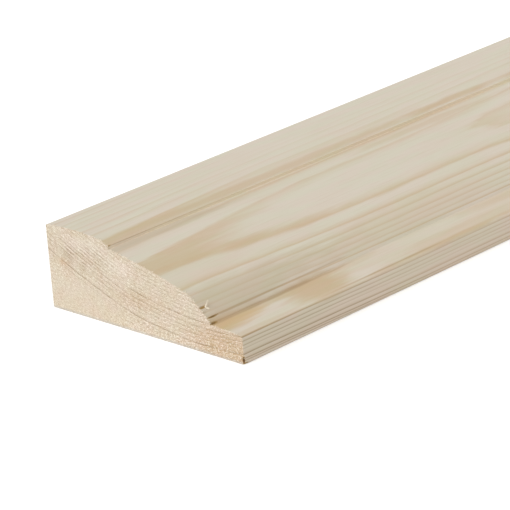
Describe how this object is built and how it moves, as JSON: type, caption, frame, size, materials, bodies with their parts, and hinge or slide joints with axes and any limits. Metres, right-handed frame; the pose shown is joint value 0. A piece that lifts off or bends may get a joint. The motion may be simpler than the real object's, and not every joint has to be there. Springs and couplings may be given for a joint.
{
  "type": "ovolo architrave moulding",
  "caption": "Length of planed softwood architrave with a rounded crown, a quirk and an ovolo falling to a thin edge; trims the joint between a wall and a door lining.",
  "frame": {"origin": "centre of the flat back face, on the floor that the moulding lies on", "axes": "+X along the length, +Y towards the thick edge, +Z out of the moulded face"},
  "size_m": [2.1, 0.044, 0.015],
  "materials": {
    "planed_pine": "planed, unfinished"
  },
  "bodies": {
    "root": {"architrave": "planed_pine"}
  },
  "joints": []
}
